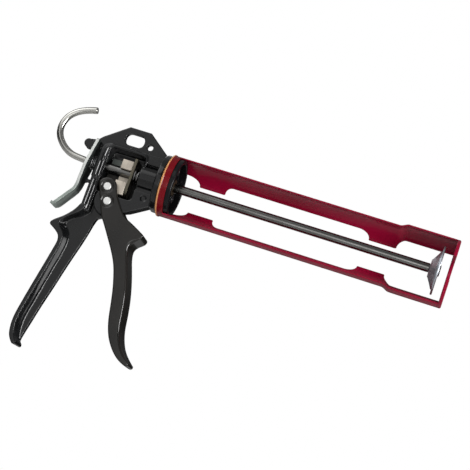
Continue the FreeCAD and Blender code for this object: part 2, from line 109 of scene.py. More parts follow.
def bevelled(ob, width, segments=3, angle=32):
    flats_joined(ob)
    m = ob.modifiers.new("b", "BEVEL")
    m.width = width * MM
    m.segments = segments
    m.limit_method = "ANGLE"
    m.angle_limit = math.radians(angle)
    m.use_clamp_overlap = True
    m.harden_normals = False
    baked(ob)
    mark_sharp(ob, 40)
    return ob


def prism_y(pts, y0, y1):
    """Closed solid: polygon (x, z) in mm between y0 and y1."""
    bm = bmesh.new()
    a = [bm.verts.new((x * MM, y0 * MM, z * MM)) for x, z in pts]
    b = [bm.verts.new((x * MM, y1 * MM, z * MM)) for x, z in pts]
    n = len(pts)
    bm.faces.new(a)
    bm.faces.new(b[::-1])
    for i in range(n):
        bm.faces.new((a[i], b[i], b[(i + 1) % n], a[(i + 1) % n]))
    bmesh.ops.recalc_face_normals(bm, faces=bm.faces)
    return bm


def prism_x(pts, x0, x1):
    """Closed solid: polygon (y, z) in mm between x0 and x1."""
    bm = bmesh.new()
    a = [bm.verts.new((x0 * MM, y * MM, z * MM)) for y, z in pts]
    b = [bm.verts.new((x1 * MM, y * MM, z * MM)) for y, z in pts]
    n = len(pts)
    bm.faces.new(a)
    bm.faces.new(b[::-1])
    for i in range(n):
        bm.faces.new((a[i], b[i], b[(i + 1) % n], a[(i + 1) % n]))
    bmesh.ops.recalc_face_normals(bm, faces=bm.faces)
    return bm


def cyl(axis, r, a, b, u=0.0, v=0.0, seg=48):
    """Cylinder along x (u, v = y, z) or y (u, v = x, z), mm."""
    bm = bmesh.new()
    ring = []
    for t in (a, b):
        row = []
        for i in range(seg):
            w = 2 * math.pi * i / seg
            p, q = u + r * math.cos(w), v + r * math.sin(w)
            co = (t, p, q) if axis == "x" else (p, t, q)
            row.append(bm.verts.new([c * MM for c in co]))
        ring.append(row)
    bm.faces.new(ring[0])
    bm.faces.new(ring[1][::-1])
    for i in range(seg):
        j = (i + 1) % seg
        bm.faces.new((ring[0][i], ring[1][i], ring[1][j], ring[0][j]))
    bmesh.ops.recalc_face_normals(bm, faces=bm.faces)
    return bm


def tube(points, radius, seg=16, caps="flat", radii=None):
    """Round bar along points (mm) with a rotation-minimising frame."""
    P = [Vector(p) for p in points]
    n = len(P)
    T = []
    for i in range(n):
        d = P[min(i + 1, n - 1)] - P[max(i - 1, 0)]
        T.append(d.normalized())
    ref = Vector((0, 1, 0))
    if abs(T[0].dot(ref)) > 0.9:
        ref = Vector((0, 0, 1))
    N = (ref - T[0] * ref.dot(T[0])).normalized()
    rows = []
    bm = bmesh.new()
    stations = []
    for i in range(n):
        N = (N - T[i] * N.dot(T[i])).normalized()
        r = radii[i] if radii else radius
        stations.append((P[i], T[i], N.copy(), r))
    if caps == "round":
        pre, post = [], []
        p, t, nn, r = stations[0]
        for k in range(5):
            w = math.radians(10 + k * 16)
            pre.append((p - t * (r * 0.9 * math.cos(w)), t, nn, r * math.sin(w)))
        p, t, nn, r = stations[-1]
        for k in range(5):
            w = math.radians(74 - k * 16)
            post.append((p + t * (r * 0.9 * math.cos(w)), t, nn, r * math.sin(w)))
        stations = pre + stations + post
    elif caps == "chamfer":
        p, t, nn, r = stations[0]
        stations = [(p, t, nn, r * 0.84), (p + t * r * 0.14, t, nn, r * 0.97)] + stations[1:]
        p, t, nn, r = stations[-1]
        stations = stations[:-1] + [(p - t * r * 0.14, t, nn, r * 0.97), (p, t, nn, r * 0.84)]
    for p, t, nn, r in stations:
        B = t.cross(nn)
        rows.append([bm.verts.new((p + nn * (r * math.cos(2 * math.pi * k / seg))
                                   + B * (r * math.sin(2 * math.pi * k / seg))) * MM)
                     for k in range(seg)])
    for i in range(len(rows) - 1):
        for k in range(seg):
            j = (k + 1) % seg
            bm.faces.new((rows[i][k], rows[i + 1][k], rows[i + 1][j], rows[i][j]))
    bm.faces.new(rows[0])
    bm.faces.new(rows[-1][::-1])
    bmesh.ops.recalc_face_normals(bm, faces=bm.faces)
    return bm


def rounded(profile, r, closed=True, n=4):
    """Polyline (x, r) with its corners rounded; a corner may carry its own radius as a third number."""
    out = []
    m = len(profile)
    for i in range(m):
        p = profile[i]
        rad = p[2] if len(p) > 2 else r
        if (not closed and i in (0, m - 1)) or rad <= 0:
            out.append((p[0], p[1]))
            continue
        a, b, c = (Vector(profile[(i - 1) % m][:2]), Vector(p[:2]), Vector(profile[(i + 1) % m][:2]))
        u, w = a - b, c - b
        lu, lw = u.length, w.length
        if lu < 1e-6 or lw < 1e-6:
            out.append((p[0], p[1]))
            continue
        u.normalize()
        w.normalize()
        ang = math.acos(max(-1.0, min(1.0, u.dot(w))))
        if ang > math.radians(176):
            out.append((p[0], p[1]))
            continue
        back = min(rad / math.tan(ang / 2), 0.45 * lu, 0.45 * lw)
        s, e = b + u * back, b + w * back
        for k in range(n + 1):
            t = k / n
            q = s * (1 - t) ** 2 + b * (2 * t * (1 - t)) + e * t * t
            out.append((q.x, q.y))
    return out


def lathe(profile, seg=128, r=0.25, n=4):
    """Profile of (x, r) turned about X. Closed profile unless it starts and ends on the axis."""
    on_axis = profile[0][1] == 0 and profile[-1][1] == 0
    pts = rounded(profile, r, closed=not on_axis, n=n)
    bm = bmesh.new()
    rows = []
    for x, rad in pts:
        if rad < 1e-6:
            rows.append([bm.verts.new((x * MM, 0, 0))])
        else:
            rows.append([bm.verts.new((x * MM, rad * math.sin(2 * math.pi * k / seg) * MM,
                                       rad * math.cos(2 * math.pi * k / seg) * MM)) for k in range(seg)])
    m = len(rows)
    for i in range(m if not on_axis else m - 1):
        A, B = rows[i], rows[(i + 1) % m]
        for k in range(seg):
            j = (k + 1) % seg
            if len(A) == 1 and len(B) == 1:
                continue
            if len(A) == 1:
                bm.faces.new((A[0], B[k], B[j]))
            elif len(B) == 1:
                bm.faces.new((A[k], B[0], A[j]))
            else:
                bm.faces.new((A[k], B[k], B[j], A[j]))
    bmesh.ops.recalc_face_normals(bm, faces=bm.faces)
    return bm


def joined(bms):
    out = bmesh.new()
    for b in bms:
        me = bpy.data.meshes.new("t")
        b.to_mesh(me)
        b.free()
        out.from_mesh(me)
        bpy.data.meshes.remove(me)
    return out


def add_to(ob, bms):
    bm = bmesh.new()
    bm.from_mesh(ob.data)
    for b in bms:
        me = bpy.data.meshes.new("t")
        b.to_mesh(me)
        b.free()
        bm.from_mesh(me)
        bpy.data.meshes.remove(me)
    bm.to_mesh(ob.data)
    bm.free()
    return ob


def cut(ob, bms):
    """Takes each closed solid out of ob."""
    for b in bms:
        c = new_object("cutter", b)
        m = ob.modifiers.new("c", "BOOLEAN")
        m.operation = "DIFFERENCE"
        m.solver = "EXACT"
        m.object = c
        before = len(ob.data.vertices)
        baked(ob)
        bpy.data.objects.remove(c)
        if len(ob.data.vertices) < 8:
            raise RuntimeError("a cut emptied %s (had %d vertices)" % (ob.name, before))
    return ob


def cast(ob, voxel, rounds=3, factor=0.5):
    """Casting look: one skin with every edge and inner corner run out by a small radius."""
    v = voxel * 1.0
    m = ob.modifiers.new("r", "REMESH")
    m.mode = "VOXEL"
    m.voxel_size = v * MM
    m.adaptivity = 0.0
    m.use_smooth_shade = True
    s = ob.modifiers.new("s", "SMOOTH")
    s.factor = factor
    s.iterations = rounds
    baked(ob)
    for p in ob.data.polygons:
        p.use_smooth = True
    return ob


def catmull(pts, n=6, closed=False):
    """Smooth curve through 2-D points."""
    P = [Vector(p) for p in pts]
    m = len(P)
    out = []
    rng = range(m if closed else m - 1)
    for i in rng:
        p1, p2 = P[i % m], P[(i + 1) % m]
        p0 = P[(i - 1) % m] if closed or i > 0 else p1 * 2 - p2
        p3 = P[(i + 2) % m] if closed or i + 2 < m else p2 * 2 - p1
        for k in range(n):
            t = k / n
            q = 0.5 * ((2 * p1) + (p2 - p0) * t + (2 * p0 - 5 * p1 + 4 * p2 - p3) * t * t
                       + (3 * p1 - p0 - 3 * p2 + p3) * t ** 3)
            out.append(tuple(q))
    if not closed:
        out.append(tuple(P[-1]))
    return out


# ------------------------------------------------------------------ materials
def nodes_of(name):
    m = bpy.data.materials.new(name)
    m.use_nodes = True
    nt = m.node_tree
    nt.nodes.clear()
    out = nt.nodes.new("ShaderNodeOutputMaterial")
    b = nt.nodes.new("ShaderNodeBsdfPrincipled")
    nt.links.new(b.outputs[0], out.inputs[0])
    return m, nt, b


def coords(nt, scale=(1, 1, 1), rot=(0, 0, 0)):
    tc = nt.nodes.new("ShaderNodeTexCoord")
    mp = nt.nodes.new("ShaderNodeMapping")
    mp.inputs["Scale"].default_value = scale
    mp.inputs["Rotation"].default_value = rot
    nt.links.new(tc.outputs["Object"], mp.inputs["Vector"])
    return mp.outputs[0]


def noise(nt, vec, scale, detail=3.0, rough=0.5, dist=0.0):
    n = nt.nodes.new("ShaderNodeTexNoise")
    n.inputs["Scale"].default_value = scale
    n.inputs["Detail"].default_value = detail
    n.inputs["Roughness"].default_value = rough
    n.inputs["Distortion"].default_value = dist
    nt.links.new(vec, n.inputs["Vector"])
    return n.outputs["Fac"]


def ramp(nt, fac, stops):
    r = nt.nodes.new("ShaderNodeValToRGB")
    els = r.color_ramp.elements
    while len(els) > 1:
        els.remove(els[-1])
    first = True
    for pos, col in stops:
        c = (*col, 1.0) if len(col) == 3 else col
        if first:
            els[0].position = pos
            els[0].color = c
            first = False
        else:
            e = els.new(pos)
            e.color = c
    nt.links.new(fac, r.inputs["Fac"])
    return r.outputs["Color"]


def maths(nt, op, a, b=None, clamp=False):
    n = nt.nodes.new("ShaderNodeMath")
    n.operation = op
    n.use_clamp = clamp
    for i, v in enumerate((a, b)):
        if v is None:
            continue
        if isinstance(v, (int, float)):
            n.inputs[i].default_value = v
        else:
            nt.links.new(v, n.inputs[i])
    return n.outputs[0]


def mixc(nt, fac, a, b, mode="MIX"):
    n = nt.nodes.new("ShaderNodeMix")
    n.data_type = "RGBA"
    n.blend_type = mode
    for key, v in ((0, fac), (6, a), (7, b)):
        if isinstance(v, (int, float)):
            n.inputs[key].default_value = v
        elif isinstance(v, tuple):
            n.inputs[key].default_value = (*v, 1.0) if len(v) == 3 else v
        else:
            nt.links.new(v, n.inputs[key])
    return n.outputs[2]


def maprange(nt, v, a, b, c, d):
    n = nt.nodes.new("ShaderNodeMapRange")
    n.inputs["From Min"].default_value = a
    n.inputs["From Max"].default_value = b
    n.inputs["To Min"].default_value = c
    n.inputs["To Max"].default_value = d
    nt.links.new(v, n.inputs["Value"])
    return n.outputs[0]


def bump(nt, bsdf, height, strength, distance, prev=None):
    n = nt.nodes.new("ShaderNodeBump")
    n.inputs["Strength"].default_value = strength
    n.inputs["Distance"].default_value = distance
    nt.links.new(height, n.inputs["Height"])
    if prev is not None:
        nt.links.new(prev, n.inputs["Normal"])
    nt.links.new(n.outputs[0], bsdf.inputs["Normal"])
    return n.outputs[0]


def edges_mask(nt, lo, hi):
    """Brighter on outside edges of a finely meshed piece, where paint rubs thin."""
    g = nt.nodes.new("ShaderNodeNewGeometry")
    return maprange(nt, g.outputs["Pointiness"], lo, hi, 0.0, 1.0)


def black_enamel(name, base=(0.0050, 0.0054, 0.0060), rough=0.32, coat=0.85, worn=0.05):
    """Thin gloss black enamel on a die casting: orange peel, faint casting texture, dulled and rubbed edges."""
    m, nt, b = nodes_of(name)
    v = coords(nt)
    cloud = noise(nt, v, 35, 4, 0.55)
    fine = noise(nt, v, 900, 2, 0.5)
    peel = noise(nt, v, 260, 2, 0.5)
    wear_n = noise(nt, v, 420, 4, 0.7)
    col = mixc(nt, maprange(nt, cloud, 0.3, 0.7, 0, 1), tuple(c * 0.75 for c in base),
               tuple(c * 1.35 for c in base))
    mask = edges_mask(nt, 0.53, 0.60)
    mask = maths(nt, "MULTIPLY", mask, maprange(nt, wear_n, 0.50, 0.66, 0.0, worn), True)
    col = mixc(nt, mask, col, (0.16, 0.16, 0.155))
    nt.links.new(col, b.inputs["Base Color"])
    ro = maths(nt, "ADD", maprange(nt, cloud, 0.3, 0.7, rough - 0.07, rough + 0.07),
               maprange(nt, fine, 0.3, 0.7, -0.04, 0.04))
    nt.links.new(ro, b.inputs["Roughness"])
    b.inputs["Specular IOR Level"].default_value = 0.16
    b.inputs["Coat Weight"].default_value = coat
    b.inputs["Coat Roughness"].default_value = 0.06
    h = maths(nt, "ADD", maths(nt, "MULTIPLY", peel, 0.8), maths(nt, "MULTIPLY", fine, 0.2))
    bump(nt, b, h, 0.2, 0.00006)
    return m


def red_enamel(name, edge=None, deep=1.0, blue=1.0):
    """Dark red gloss enamel on pressed steel, slightly wavy, with random darker specks and an optional painted
    highlight on the part behind a given X.
    """
    m, nt, b = nodes_of(name)
    v = coords(nt)
    vs = coords(nt, (0.35, 1, 1))
    cloud = noise(nt, vs, 40, 4, 0.55)
    fine = noise(nt, v, 1100, 2, 0.5)
    peel = noise(nt, v, 240, 2, 0.5)
    speck = noise(nt, v, 700, 3, 0.7)
    col = mixc(nt, maprange(nt, cloud, 0.32, 0.68, 0, 1), (0.250 * deep, 0.002, 0.022 * deep * blue),
               (0.330 * deep, 0.004, 0.036 * deep * blue))
    col = mixc(nt, maprange(nt, speck, 0.70, 0.80, 0.0, 0.35), col, (0.08, 0.004, 0.008))
    # painted highlight: the part behind edge[0] mm along X, fading out by edge[1] mm with a slightly wavy border,
    # blends towards edge[2]
    if edge:
        sep_x = nt.nodes.new("ShaderNodeSeparateXYZ")
        nt.links.new(v, sep_x.inputs[0])
        wob = maths(nt, "ADD", sep_x.outputs[0], maprange(nt, cloud, 0.3, 0.7, -0.0001, 0.0001))
        col = mixc(nt, maprange(nt, wob, edge[0] * MM, edge[1] * MM, 1.0, 0.0), col, edge[2])
    nt.links.new(col, b.inputs["Base Color"])
    ro = maths(nt, "ADD", maprange(nt, cloud, 0.3, 0.7, 0.24, 0.34), maprange(nt, fine, 0.3, 0.7, -0.03, 0.03))
    nt.links.new(ro, b.inputs["Roughness"])
    b.inputs["Specular IOR Level"].default_value = 0.10
    b.inputs["Coat Weight"].default_value = 0.2
    b.inputs["Coat Roughness"].default_value = 0.10
    h = maths(nt, "ADD", maths(nt, "MULTIPLY", peel, 0.8), maths(nt, "MULTIPLY", fine, 0.2))
    bump(nt, b, h, 0.2, 0.00006)
    return m


def steel(name, base, rough, along=(1, 1, 1), contrast=0.25, metallic=1.0, grain=900, scratch=0.25,
          tint=None, dist=0.00004):
    """Worked steel: grain drawn out along one direction, tarnish clouds, fine scratches."""
    m, nt, b = nodes_of(name)
    v = coords(nt)
    g = noise(nt, coords(nt, along), grain, 3, 0.6)
    cloud = noise(nt, v, 60, 4, 0.6)
    speck = noise(nt, v, 1500, 2, 0.6)
    lo = tuple(c * (1 - contrast) for c in base)
    hi = tuple(min(1.0, c * (1 + contrast * 0.6)) for c in base)
    col = mixc(nt, maprange(nt, g, 0.3, 0.7, 0, 1), lo, hi)
    if tint:
        col = mixc(nt, maprange(nt, cloud, 0.42, 0.72, 0.0, 0.6), col, tint)
    nt.links.new(col, b.inputs["Base Color"])
    b.inputs["Metallic"].default_value = metallic
    ro = maths(nt, "ADD", maprange(nt, cloud, 0.3, 0.7, rough - 0.06, rough + 0.08),
               maprange(nt, speck, 0.3, 0.7, -0.04, 0.04))
    nt.links.new(ro, b.inputs["Roughness"])
    bump(nt, b, g, scratch, dist)
    return m


def turned_steel(name, base, rough, centre=(0, 0, 0), tint=None):
    """Spun or faced steel: rings about the X axis."""
    m, nt, b = nodes_of(name)
    v = coords(nt)
    sep = nt.nodes.new("ShaderNodeSeparateXYZ")
    nt.links.new(v, sep.inputs[0])
    rr = maths(nt, "SQRT", maths(nt, "ADD", maths(nt, "MULTIPLY", sep.outputs[1], sep.outputs[1]),
                                 maths(nt, "MULTIPLY", sep.outputs[2], sep.outputs[2])))
    rr = maths(nt, "ADD", rr, maths(nt, "MULTIPLY", sep.outputs[0], 0.6))
    n1 = nt.nodes.new("ShaderNodeTexNoise")
    n1.noise_dimensions = "1D"
    n1.inputs["Scale"].default_value = 2600
    n1.inputs["Detail"].default_value = 2
    nt.links.new(rr, n1.inputs["W"])
    rings = n1.outputs["Fac"]
    cloud = noise(nt, v, 90, 4, 0.6)
    col = mixc(nt, maprange(nt, rings, 0.3, 0.7, 0, 1), tuple(c * 0.82 for c in base),
               tuple(min(1, c * 1.1) for c in base))
    if tint:
        col = mixc(nt, maprange(nt, cloud, 0.45, 0.75, 0.0, 0.6), col, tint)
    nt.links.new(col, b.inputs["Base Color"])
    b.inputs["Metallic"].default_value = 0.85
    nt.links.new(maprange(nt, cloud, 0.3, 0.7, rough - 0.06, rough + 0.08), b.inputs["Roughness"])
    bump(nt, b, rings, 0.25, 0.00003)
    return m


def mottled_zinc(name, base=(0.50, 0.55, 0.52)):
    """Dull zinc plate: soft mottle, a slight green-grey passivation, rub marks, a painted highlight on the side faces
    and painted shade on the front face.
    """
    m, nt, b = nodes_of(name)
    v = coords(nt)
    cloud = noise(nt, v, 110, 5, 0.62, 0.4)
    fine = noise(nt, v, 800, 3, 0.6)
    drawn = noise(nt, coords(nt, (1, 6, 1)), 500, 2, 0.5)
    col = mixc(nt, maprange(nt, cloud, 0.34, 0.66, 0, 1), tuple(c * 0.72 for c in base),
               tuple(c * 1.25 for c in base))
    col = mixc(nt, maprange(nt, fine, 0.45, 0.75, 0, 0.35), col, (0.55, 0.56, 0.53))
    mask = edges_mask(nt, 0.52, 0.60)
    col = mixc(nt, mask, col, (0.80, 0.81, 0.78))
    geo = nt.nodes.new("ShaderNodeNewGeometry")
    sn = nt.nodes.new("ShaderNodeSeparateXYZ")
    nt.links.new(geo.outputs["Normal"], sn.inputs[0])
    sp = nt.nodes.new("ShaderNodeSeparateXYZ")
    nt.links.new(v, sp.inputs[0])
    # matched to the photo: painted highlight on the side faces, painted shade on the front face, and a grey-green tint
    # on the thumb tab, which the painted highlight and shade leave out
    tab = maprange(nt, sp.outputs[2], -0.030, -0.018, 1.0, 0.0)
    # painted highlight: faces whose normal points along Y are lightened towards near-white
    side = maprange(nt, maths(nt, "ABSOLUTE", sn.outputs[1]), 0.55, 0.90, 0.0, 0.75)
    upper = maths(nt, "SUBTRACT", 1.0, tab, True)
    col = mixc(nt, maths(nt, "MULTIPLY", side, upper, True), col, (0.93, 0.94, 0.91))
    col = mixc(nt, maths(nt, "MULTIPLY", tab, 0.55, True), col, (0.31, 0.37, 0.33))
    # painted shade: faces whose normal points along +X are darkened to near-black
    front = maths(nt, "MULTIPLY", maprange(nt, sn.outputs[0], 0.25, 0.70, 0.0, 0.92), upper, True)
    col = mixc(nt, front, col, (0.030, 0.040, 0.038))
    nt.links.new(col, b.inputs["Base Color"])
    b.inputs["Metallic"].default_value = 0.7
    nt.links.new(maprange(nt, cloud, 0.3, 0.7, 0.36, 0.52), b.inputs["Roughness"])
    bump(nt, b, maths(nt, "ADD", maths(nt, "MULTIPLY", fine, 0.6), maths(nt, "MULTIPLY", drawn, 0.4)), 0.25, 0.00006)
    return m


M_CAST = black_enamel("black_enamel_casting")
M_TRIG = black_enamel("black_enamel_trigger", base=(0.0090, 0.0080, 0.0066), rough=0.34, coat=0.85)
M_COLLAR = black_enamel("black_enamel_collar", base=(0.004, 0.004, 0.005), rough=0.40, coat=0.25, worn=0.15)
M_RED = red_enamel("dark_red_enamel")
# painted shade and painted highlight: a darker, less blue copy of the red enamel, with an orange painted highlight on
# the rear bead (x below -9.35 mm, fading out by -9.0 mm)
M_RING_PAINTED_SHADE_HIGHLIGHT = red_enamel("dark_red_enamel_ring_shade_highlight", (-9.35, -9.0, (0.70, 0.33, 0.13)), 0.62, 0.45)
M_ROD = steel("oiled_drawn_steel", (0.24, 0.24, 0.234), 0.22, along=(0.03, 1, 1), contrast=0.3, grain=1400,
              tint=(0.13, 0.125, 0.11))
M_HOOK = steel("bright_nickel_plate", (0.62, 0.615, 0.58), 0.19, along=(1, 1, 1), contrast=0.03, grain=500,
               scratch=0.01)
M_PIN = steel("bright_pin_steel", (0.94, 0.94, 0.92), 0.42, contrast=0.05, grain=900, scratch=0.08, metallic=0.7)
M_ZINC = mottled_zinc("dull_zinc_plate")
M_PISTON = turned_steel("spun_zinc_plate", (0.60, 0.64, 0.70), 0.40, tint=(0.44, 0.46, 0.50))
M_BLOCK = steel("ground_block_steel", (0.66, 0.59, 0.50), 0.42, along=(1, 1, 0.08), contrast=0.12, metallic=0.55,
                grain=700, tint=(0.52, 0.47, 0.40))
nt_b = M_BLOCK.node_tree
bs_b = next(n for n in nt_b.nodes if n.type == "BSDF_PRINCIPLED")
src_b = bs_b.inputs["Base Color"].links[0].from_socket
sx = nt_b.nodes.new("ShaderNodeSeparateXYZ")
nt_b.links.new(coords(nt_b), sx.inputs[0])
# painted shade: the far side of the block (y above about 0) below about the rod's axis goes near-black
painted_shade_b = maths(nt_b, "MULTIPLY", maprange(nt_b, sx.outputs[1], -0.0004, 0.0012, 0.0, 1.0),
               maprange(nt_b, sx.outputs[2], 0.0012, 0.0030, 1.0, 0.0), True)
# teal-grey tone towards the rear end of the block (x below about -53.8 mm)
rear_b = maprange(nt_b, sx.outputs[0], -0.0538, -0.0530, 0.85, 0.0)
rear_teal_grey = mixc(nt_b, rear_b, src_b, (0.12, 0.16, 0.155))
nt_b.links.new(mixc(nt_b, painted_shade_b, rear_teal_grey, (0.035, 0.033, 0.030)), bs_b.inputs["Base Color"])
M_PLATE = steel("tempered_plate_steel", (0.12, 0.115, 0.085), 0.40, along=(1, 1, 0.1), contrast=0.2, grain=700,
                tint=(0.18, 0.15, 0.12))
M_SPRING = steel("spring_wire", (0.42, 0.42, 0.43), 0.25, contrast=0.2, grain=1200, tint=(0.2, 0.19, 0.18))
M_BLACKOX = steel("black_oxide", (0.075, 0.075, 0.08), 0.38, contrast=0.25, metallic=0.8, grain=900)
# very dark bronze tone, about as dark as the inside of the collar
M_BRONZE = turned_steel("dark_bronze", (0.13, 0.095, 0.055), 0.45, tint=(0.06, 0.045, 0.03))


def finish_piece(ob, material, body, slot, *cad):
    ob.data.materials.clear()
    ob.data.materials.append(material)
    for p in ob.data.polygons:
        p.material_index = 0
    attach(ob, body)
    if cad:
        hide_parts(*cad)
    return ob


# ------------------------------------------------------------------ casting
WEB_Y = 2.75
CHEEK_Y = 9.5
casting = copy_of("frame_casting", "casting_skin")
extras = []
# slope from the handle's rim down to its web, both sides
RIM_HIGH = [(-68.2, -38.6), (-68.9, -43.0), (-72.4, -47.4), (-77.6, -51.6), (-81.9, -56.0),
            (-84.0, -59.8), (-81.9, -63.6), (-78.6, -66.9), (-76.9, -74.0), (-77.9, -85.0),
            (-79.8, -94.7), (-81.5, -104.3), (-83.3, -113.9), (-85.0, -123.2), (-86.8, -132.8),
            (-88.3, -141.5), (-89.0, -149.0), (-88.4, -156.5), (-86.6, -162.6), (-83.9, -166.4)]
RIM_LOW = [(-66.6, -40.5), (-66.0, -44.5), (-69.9, -48.6), (-75.5, -51.3), (-79.6, -54.6),
           (-80.6, -58.4), (-77.6, -62.0), (-74.6, -66.5), (-73.4, -74.0), (-74.7, -85.0),
           (-76.4, -94.7), (-78.1, -104.3), (-79.7, -113.9), (-81.1, -123.2), (-82.8, -132.8),
           (-84.4, -141.5), (-85.1, -149.0), (-84.6, -156.5), (-83.6, -162.5), (-82.9, -165.4)]
HI, LO = catmull(RIM_HIGH, 5), catmull(RIM_LOW, 5)


def rim_slope(s):
    bm = bmesh.new()
    rows = []
    prof = ((0.0, 9.9), (0.18, 8.3), (0.38, 6.4), (0.60, 4.4), (0.84, 3.1), (1.06, 2.3), (-0.30, 2.3), (-0.30, 9.9))
    for (hx, hz), (lx, lz) in zip(HI, LO):
        rows.append([bm.verts.new(((hx + (lx - hx) * t) * MM, s * y * MM, (hz + (lz - hz) * t) * MM)) for t, y in prof])
    m = len(prof)
    for i in range(len(rows) - 1):
        for k in range(m):
            j = (k + 1) % m
            bm.faces.new((rows[i][k], rows[i + 1][k], rows[i + 1][j], rows[i][j]))
    bm.faces.new(rows[0])
    bm.faces.new(rows[-1][::-1])
    bmesh.ops.recalc_face_normals(bm, faces=bm.faces)
    return bm


extras += [rim_slope(-1), rim_slope(1)]
# raised bead round the top of the window, and round the same place on the closed cheek
lip = catmull([(-68.6, 3.0), (-68.5, 10.0), (-68.0, 14.2), (-66.2, 16.7), (-62.6, 17.9), (-49.2, 18.1), (-34.8, 17.0),
               (-32.2, 14.6), (-31.6, 10.5), (-31.5, 6.0)], 5)
for s in (-1, 1):
    extras.append(tube([(x, s * 9.25, z) for x, z in lip], 1.15, 12, "round"))
# gussets behind the flange
for s in (-1, 1):
    extras.append(prism_y([(-28.0, s * 11.0), (-15.5, s * 11.0), (-15.5, s * 22.6), (-17.2, s * 22.6)], -1.4, 1.4))
# grooves down both sides of the rear column, in two lengths
for s in (-1, 1):
    for x in (-69.3, -66.5):
        for z0, z1 in ((-42.6, -14.4), (-12.4, 7.2)):
            cut(casting, [tube([(x, s * 9.85, z0 + 1.0), (x, s * 9.85, 0.5 * (z0 + z1)), (x, s * 9.85, z1 - 1.0)],
                               1.2, 20, "round")])
add_to(casting, extras)
cast(casting, 0.32, 14)
finish_piece(casting, M_CAST, "frame", "black_casting", "frame_casting")

collar = copy_of("cartridge_collar", "collar_skin")
cast(collar, 0.26, 6)
finish_piece(collar, M_COLLAR, "frame", "black_casting", "cartridge_collar")

bush = new_object("bush_skin", lathe([(-11.0, 3.95), (-11.0, 6.0), (-4.4, 6.0), (-4.4, 7.0), (-3.4, 7.0), (-3.4, 3.95)],
                                     64, 0.2))
finish_piece(bush, M_BRONZE, "frame", "bronze", "rod_bush")

screws = bevelled(copy_of("collar_screws", "collar_screw_set"), 0.25, 3)
finish_piece(screws, M_BLACKOX, "frame", "dark_fastener", "collar_screws")


def turned_y(profile, name, x, z, seg=48):
    """Lathe profile (y, r) about an axis along Y through x, z."""
    bm = lathe(profile, seg, 0.18)
    bm.transform(Matrix.Rotation(math.pi / 2, 4, "Z"))
    bm.transform(Matrix.Translation((x * MM, 0, z * MM)))
    return new_object(name, bm, sharp=40)


PIVOT = (-51.5, -30.4)
DRIVE = (-55.7, -18.3)
pin_profile = [(-12.9, 0, 0), (-12.9, 3.0, 0.4), (-12.45, 3.35, 0.2), (-11.9, 3.35, 0.1), (-11.9, 3.0, 0.1), (12.0, 3.0, 0.05),
               (12.0, 2.4, 0.05), (12.8, 2.4, 0.05), (12.8, 3.0, 0.05), (13.2, 2.7, 0.1), (13.2, 0, 0)]
for node, at, body in (("pivot_pin", PIVOT, "frame"), ("drive_pin", DRIVE, "trigger")):
    ob = turned_y(pin_profile, node + "_skin", *at)
    finish_piece(ob, M_PIN, body, "bright_steel", node)
for node, body in (("pivot_pin_clip", "frame"), ("drive_pin_clip", "trigger")):
    ob = bevelled(copy_of(node, node + "_skin"), 0.12, 2)
    finish_piece(ob, M_SPRING, body, "spring_steel", node)

stop = new_object("stop_pin_skin", lathe([(-78.7, 0, 0), (-78.7, 2.1, 0.4), (-78.2, 2.3, 0.3), (-77.6, 2.3, 0.2),
                                          (-77.6, 1.65, 0.1), (-70.0, 1.65, 0.1), (-70.0, 0, 0)], 48), sharp=50)
stop.data.transform(Matrix.Translation((0, 0, -16.6 * MM)))
finish_piece(stop, M_BLACKOX, "frame", "dark_fastener", "lever_stop_pin")


def coil(x0, x1, r, wire, turns, dead=1.0, seg=12):
    """Compression coil about X with closed ends."""
    n = int(turns * 28)
    pts = []
    L = (x1 - x0) - 2 * wire
    close = 2 * wire * dead
    for i in range(n + 1):
        t = i / n * turns
        if t < dead:
            x = close * 0.5 * (t / dead)
        elif t > turns - dead:
            x = L - close * 0.5 * ((turns - t) / dead)
        else:
            k = (t - dead) / (turns - 2 * dead)
            x = close * 0.5 + (L - close) * k
        w = 2 * math.pi * t
        pts.append((x0 + wire + x, r * math.sin(w), r * math.cos(w)))
    return tube(pts, wire, seg, "chamfer")


spring = new_object("return_coil", coil(-39.6, -15.0, 5.75, 0.6, 8))
finish_piece(spring, M_SPRING, "frame", "spring_steel", "return_spring")
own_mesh(spring)
spring2 = new_object("release_coil", coil(-79.2, -74.3, 5.6, 0.55, 3.2, 0.6))
finish_piece(spring2, M_SPRING, "frame", "spring_steel", "release_spring")
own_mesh(spring2)

# ------------------------------------------------------------------ cradle
RI, SHEET = 25.6, 1.2
RO = RI + SHEET
RO2 = 29.4
ring = new_object("ring_skin", lathe([(-10.6, 23.6, 0.2), (-10.6, 27.1, 0.5), (-9.9, 27.4, 0.4), (-9.2, 27.3, 0.4),
                                      (-8.6, 26.8, 0.5), (-4.0, 26.8, 0.4), (-4.0, 25.6, 0.2), (-8.2, 25.6, 0.3),
                                      (-8.2, 23.6, 0.2)], 192, 0.2), sharp=60)
finish_piece(ring, M_RING_PAINTED_SHADE_HIGHLIGHT, "cradle", "red_sheet", "cradle_ring")

S0 = RO * math.sin(math.radians(44.3 - 53.0))
S1 = RO * math.sin(math.radians(62.4 - 53.0))


def tab_edge(xs, xa, xb, xe):
    out = []
    n = 14
    for i in range(n + 1):
        t = i / n
        out.append((xs + (xa - xs) * math.sin(t * math.pi / 2), S0 + (S1 - 0.4 - S0) * (1 - math.cos(t * math.pi / 2))))
    out += [(xa + 0.25, S1 - 0.15), (xa + 0.7, S1)]
    k = max(2, int((xb - xa) / 4))
    for i in range(1, k):
        out.append((xa + 0.7 + (xb - 1.0 - xa - 0.7) * i / k, S1))
    out += [(xb - 1.0, S1), (xb - 0.45, S1 - 0.2), (xb, S1 - 0.7)]
    for i in range(1, n + 1):
        t = i / n
        out.append((xb + (xe - xb) * (1 - math.cos(t * math.pi / 2)), S1 - 0.7 + (S0 - S1 + 0.7) * math.sin(t * math.pi / 2)))
    return out


